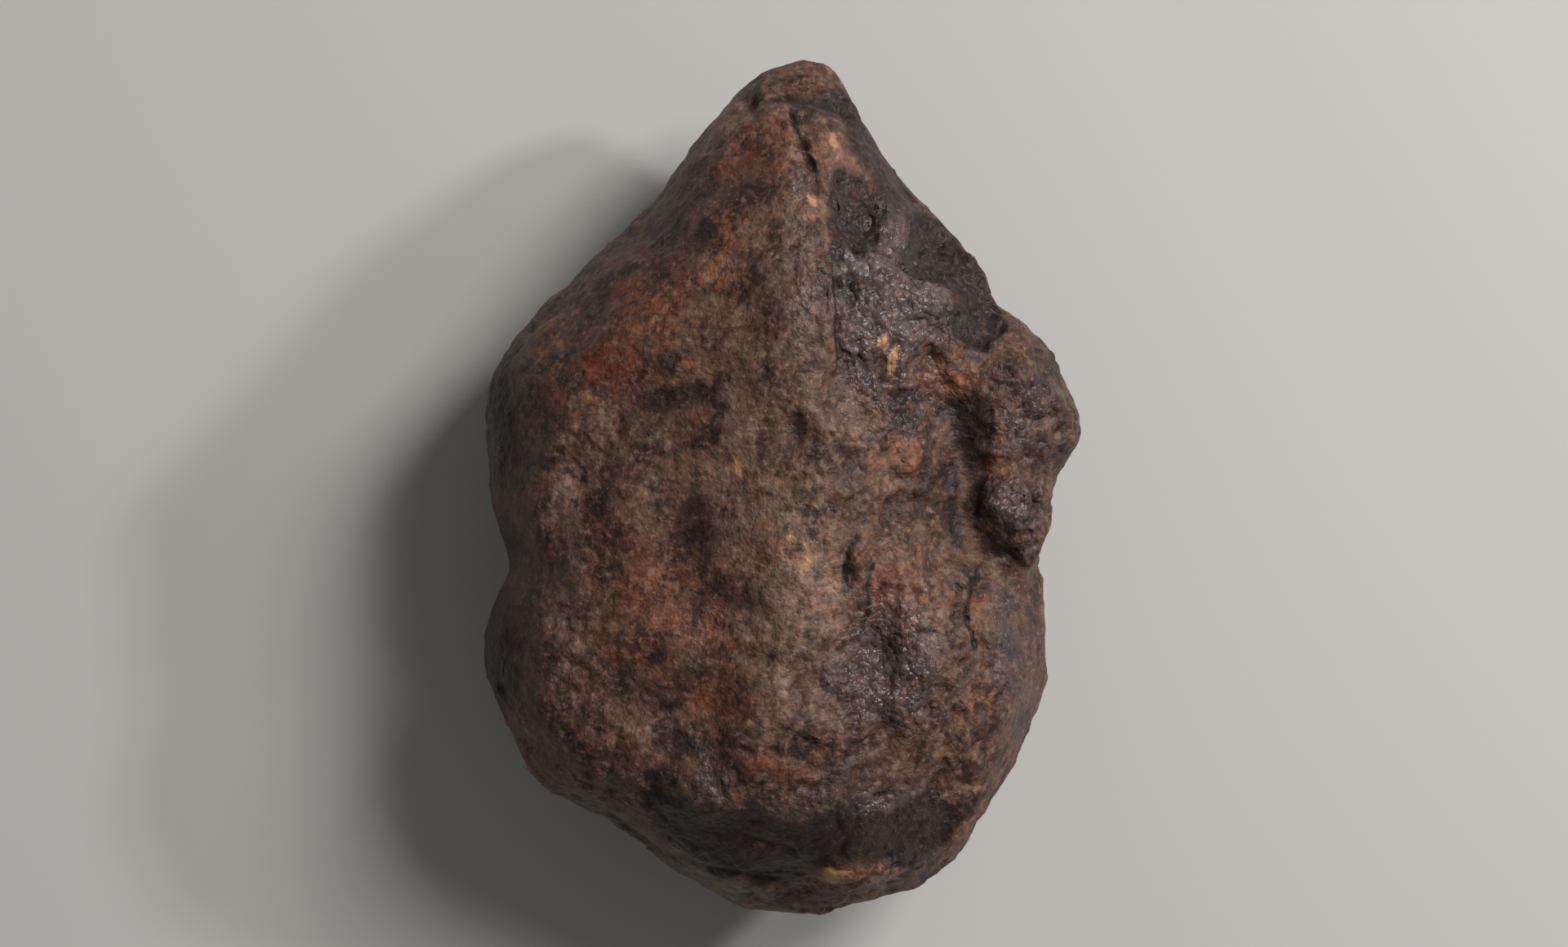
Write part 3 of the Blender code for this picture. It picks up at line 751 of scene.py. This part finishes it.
def skin_noises(graph, place):
    """The noises of the skin, from wide clouds to grit. The wider ones are read at bent places."""
    bend = graph.vector("SUBTRACT", graph.noise(place, 5.0, 1.0)["Color"], (0.5, 0.5, 0.5))[0]
    bent = graph.vector("ADD", place, graph.scaled(bend, 2.4))[0]
    fold = graph.noise(sideways(graph, bent, 60.0), 6.0, 3.0, 0.5)[0]
    stretched = graph.vector("MULTIPLY", place, (1.0, 0.3, 1.0))[0]
    return SimpleNamespace(
        wide=graph.noise(place, 13.0, 3.0, 0.55)[0],
        other_wide=graph.noise(sideways(graph, bent, 80.0), 15.0, 3.0, 0.55)[0],
        patch=graph.noise(bent, 4.5, 5.0, 0.62)[0],
        cloud=graph.noise(sideways(graph, bent, 40.0), 2.4, 4.0, 0.64)[0],
        smudge=graph.noise(sideways(graph, bent, 20.0), 3.0, 4.0, 0.60)[0],
        speck=graph.noise(place, 1.5, 3.0, 0.66)[0],
        other_speck=graph.noise(sideways(graph, place, 30.0), 1.2, 2.0, 0.6)[0],
        grit=graph.noise(sideways(graph, place, 10.0), 0.75, 2.0, 0.6)[0],
        vein=abs(fold - 0.5).step(0.03, 0.004),
        streak=graph.noise(stretched, 0.9, 2.0, 0.6)[0],
    )


def mineral_grains(graph, place, worn):
    """Grains side by side: where the orange, black and light ones are, and their domed tops."""
    shift = graph.scaled(graph.noise(place, 1.6)["Color"], 0.9)
    shifted = graph.vector("ADD", place, shift)[0]
    random_colour, from_middle, border = graph.cells(shifted, GRAIN_WIDTH)
    kind = graph.node("ShaderNodeSeparateXYZ", {}, {0: random_colour})
    shown = border.step(0.0, 0.24) * (0.3 + 0.8 * worn)
    distance = graph.length(from_middle)
    return SimpleNamespace(
        orange=kind["X"].step(0.70, 0.84) * shown,
        black=kind["Y"].step(0.30, 0.16) * shown,
        light=kind["Z"].step(0.76, 0.90) * shown,
        dome=0.35 - distance * distance,
    )


def stain_masks(graph, noises):
    """Where each kind of stain shows, with painted shade and sheen among them: at the places listed
    and, for some, by chance.
    """

    def ragged(strength, raggedness):
        edge = (noises.smudge - 0.5) * raggedness + (noises.speck - 0.5) * 0.8
        return (strength + edge).step(0.25, 0.75)

    red = attribute(graph, "red").highest(noises.wide.step(0.50, 0.70) * 0.5)
    rust = attribute(graph, "rust").highest(noises.other_wide.step(0.54, 0.72) * 0.5) + 0.15
    grey = attribute(graph, "grey").highest(noises.wide.step(0.46, 0.30) * 0.6)
    dark_and_painted_shade = attribute(graph, "dark_and_painted_shade").highest(noises.other_wide.step(0.44, 0.28) * 0.7)
    return SimpleNamespace(
        red=ragged(red, 1.6),
        rust=rust,
        rust_cloud=(rust * 0.35 + noises.cloud + (noises.grit - 0.5) * 0.5).step(0.68, 0.98),
        rust_vein=noises.vein * (rust + (noises.speck - 0.5) * 2.0).step(0.3, 0.9),
        grey=ragged(grey, 0.8),
        dark_and_painted_shade=ragged(dark_and_painted_shade, 0.8),
        pale=ragged(attribute(graph, "pale"), 0.8),
        tan=ragged(attribute(graph, "tan"), 0.9),
        lip=ragged(attribute(graph, "lip"), 0.3),
        silver_and_painted_sheen=ragged(attribute(graph, "silver_and_painted_sheen"), 1.0),
        fibre=attribute(graph, "fibre"),
    )


def skin_colour(graph, noises, grains, stains):
    """The stone's colour, built up from its brown ground in layers, with painted shade in its hollows,
    cracks and creases and a painted sheen on the silver places.
    """
    # How much the bright marks show: less on the dark patches and painted shade, and on the grey
    bright_marks_share = (1.0 - 0.7 * stains.dark_and_painted_shade) * (1.0 - 0.4 * stains.grey)
    # Painted shade: darker where the surface lies deeper than its surroundings
    painted_hollow_shade = (attribute(graph, "hollow") - 0.1).step(0.2, 1.2)
    light_grit = noises.grit.step(0.54, 0.74) * bright_marks_share
    light_grain = grains.light * bright_marks_share
    layers = [
        (noises.smudge.step(0.50, 0.66) * 0.7, MAUVE),
        (stains.red * (0.35 + 0.45 * noises.patch.step(0.30, 0.60)), OXIDE_RED),
        (stains.pale * 0.56, PALE_BROWN),
        (stains.grey * 0.8, BLUE_GREY),
        # Silver grey, partly a painted sheen
        (stains.silver_and_painted_sheen * 0.6, SILVER_AND_SHEEN_GREY),
        (stains.lip * 0.7, LIP_GREY),
        # Dark patches and painted shade
        (stains.dark_and_painted_shade * 0.85, BLACK_AND_PAINTED_SHADE),
        (noises.streak.step(0.52, 0.66) * stains.fibre * bright_marks_share * 0.5, PALE_BROWN),
        (noises.streak.step(0.46, 0.34) * stains.fibre * 0.5, UMBER),
        (stains.rust_cloud * bright_marks_share * 0.6, ORANGE),
        (stains.rust_vein * bright_marks_share * 0.4, ORANGE),
        (noises.speck.step(0.52, 0.72) * bright_marks_share * 0.5, PALE_BROWN),
        (noises.other_speck.step(0.54, 0.74) * bright_marks_share * (0.1 + stains.rust), ORANGE),
        (noises.speck.step(0.48, 0.28) * 0.6, BLACK_AND_PAINTED_SHADE),
        (light_grit * (0.4 + 0.4 * stains.pale), LIGHT_GRAIN),
        (noises.grit.step(0.46, 0.28) * 0.5, BLACK_AND_PAINTED_SHADE),
        (grains.orange * bright_marks_share * stains.rust * 0.8, ORANGE),
        (grains.black * 0.5, BLACK_AND_PAINTED_SHADE),
        (light_grain * (0.3 + 0.4 * stains.pale.highest(stains.silver_and_painted_sheen)), LIGHT_GRAIN),
        (stains.tan * 0.8, TAN),
        # Painted shade in the hollows and in the cracks
        (painted_hollow_shade * 0.5, BLACK_AND_PAINTED_SHADE),
        (attribute(graph, "crack").step(0.2, 0.5) * 0.85, BLACK_AND_PAINTED_SHADE),
    ]
    skin = graph.blend(noises.patch.step(0.36, 0.62), UMBER, BROWN)
    for share, tint in layers:
        skin = graph.blend(share, skin, tint)
    return skin


def skin_roughness(noises, stains):
    """Dull, with a gloss on the grey and silver places."""
    glossy = stains.grey.highest(stains.silver_and_painted_sheen) * (1.0 - 0.6 * stains.dark_and_painted_shade)
    uneven = (noises.grit - 0.5) * 0.4 + stains.rust_cloud * 0.1
    return 0.56 - 0.34 * glossy - 0.06 * stains.dark_and_painted_shade + uneven


def skin_relief(graph, noises, grains, stains, worn):
    """The relief too fine for the mesh: specks, grit, streaks and the grains' tops."""
    domes = grains.dome * (0.1 + 0.9 * worn + stains.grey)
    streaks = noises.streak * (0.1 + 0.6 * stains.grey)
    height = noises.speck * 0.8 + noises.grit * 0.5 + streaks + noises.cloud * 0.5 + domes * 0.7
    values = {"Strength": RELIEF_SHARE, "Distance": RELIEF_HEIGHT, "Height": height}
    return graph.node("ShaderNodeBump", {}, values)[0]


def stone_material():
    """Dark brown weathered stone: clouded and veined with rust, and glossy grey in places, with
    painted shade in its hollows, cracks and creases and a painted sheen where it is silver.
    """
    material = bpy.data.materials.new("weathered_stone")
    material.use_nodes = True
    tree = material.node_tree
    graph = Graph(tree)
    shader = tree.nodes["Principled BSDF"]
    place = graph.scaled(graph.node("ShaderNodeTexCoord", {}, {})["Object"], 1.0 / MM)
    worn = attribute(graph, "rough")
    noises = skin_noises(graph, place)
    grains = mineral_grains(graph, place, worn)
    stains = stain_masks(graph, noises)
    skin = skin_colour(graph, noises, grains, stains)
    rough = skin_roughness(noises, stains)
    relief = skin_relief(graph, noises, grains, stains, worn)
    tree.links.new(skin.socket, shader.inputs["Base Color"])
    tree.links.new(rough.socket, shader.inputs["Roughness"])
    tree.links.new(relief.socket, shader.inputs["Normal"])
    shader.inputs["Specular IOR Level"].default_value = SHEEN
    return material


# The stone's mesh


def finer_near_cracks(work):
    """Halves the faces of the front that are near a crack."""
    centres = np.array([f.calc_center_median() for f in work.faces]) / MM
    upward = np.array([f.normal.z for f in work.faces])
    nearest = np.full(len(centres), np.inf)
    for path, _, _ in CRACKS.values():
        nearest = np.minimum(nearest, np.abs(along_path(centres[:, :2], path)[0]))
    chosen = [f for f, d, up in zip(work.faces, nearest, upward) if d < FINER_REACH and up > 0.1]
    edges = list(dict.fromkeys(e for f in chosen for e in f.edges))
    bmesh.ops.subdivide_edges(work, edges=edges, cuts=1, use_grid_fill=True)


def stone_copy():
    """The CAD node's mesh as one closed mesh of quads."""
    work = bmesh.new()
    work.from_mesh(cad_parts["stone"].data)
    bmesh.ops.remove_doubles(work, verts=work.verts, dist=0.001 * MM)
    bmesh.ops.join_triangles(
        work,
        faces=work.faces,
        angle_face_threshold=QUAD_ANGLE,
        angle_shape_threshold=QUAD_ANGLE,
    )
    finer_near_cracks(work)
    mesh = bpy.data.meshes.new("weathered_stone")
    work.to_mesh(mesh)
    work.free()
    return mesh


def evaluated(obj):
    """The object's mesh with its modifiers applied, as a plain mesh."""
    graph = bpy.context.evaluated_depsgraph_get()
    return bpy.data.meshes.new_from_object(obj.evaluated_get(graph))


def wear(stone, material):
    """Gives the stone the mesh that the surface tree makes of its own."""
    tree = surface_tree(material)
    worn = stone.modifiers.new("worn surface", "NODES")
    worn.node_group = tree
    sizes = {**SURFACE_SIZES, "Seed": float(SURFACE_SEED)}
    for item in tree.interface.items_tree:
        if item.in_out == "INPUT" and item.name in sizes:
            worn[item.identifier] = sizes[item.name]
    mesh = evaluated(stone)
    stone.modifiers.remove(worn)
    stone.data = mesh


def build_stone():
    material = stone_material()
    mesh = stone_copy()
    place_roughness(mesh)
    mesh.materials.append(material)
    stone = bpy.data.objects.new("weathered_stone", mesh)
    bpy.context.scene.collection.objects.link(stone)
    wear(stone, material)
    carve(stone.data)
    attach(stone, "root")
    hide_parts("stone")


# Floor, lights and camera


def build_floor():
    bpy.ops.mesh.primitive_plane_add(size=FLOOR_SIZE)
    floor = bpy.context.object
    floor.name = "floor"
    material = bpy.data.materials.new("pale_floor")
    material.use_nodes = True
    shader = material.node_tree.nodes["Principled BSDF"]
    shader.inputs["Base Color"].default_value = FLOOR_COLOUR
    shader.inputs["Roughness"].default_value = FLOOR_ROUGHNESS
    floor.data.materials.append(material)


def area_light(name, direction, distance, size, power, tint):
    """A square soft light that looks at the stone."""
    light = bpy.data.lights.new(name, "AREA")
    light.size = size
    light.energy = power
    light.color = tint
    lamp = bpy.data.objects.new(name, light)
    towards = Vector(direction).normalized()
    lamp.location = towards * distance + Vector((0.0, 0.0, EDGE_LEVEL * MM))
    lamp.rotation_euler = towards.to_track_quat("Z", "Y").to_euler()
    bpy.context.scene.collection.objects.link(lamp)


def build_lights():
    for name, settings in LIGHTS.items():
        area_light(name, *settings)
    world = bpy.data.worlds.new("soft room")
    world.use_nodes = True
    background = world.node_tree.nodes["Background"]
    background.inputs["Color"].default_value = ROOM_COLOUR
    background.inputs["Strength"].default_value = ROOM_LIGHT
    bpy.context.scene.world = world


def build_camera():
    camera = bpy.data.cameras.new("camera")
    camera.lens = LENS
    camera.sensor_width = SENSOR
    camera.clip_start = 0.01
    eye = bpy.data.objects.new("camera", camera)
    distance = VIEW_WIDTH * LENS / SENSOR
    place = (VIEW_CENTRE[0], VIEW_CENTRE[1], EDGE_LEVEL + distance)
    eye.location = tuple(part * MM for part in place)
    bpy.context.scene.collection.objects.link(eye)
    bpy.context.scene.camera = eye
    bpy.context.scene.view_settings.view_transform = "Standard"


build_stone()
build_floor()
build_lights()
build_camera()
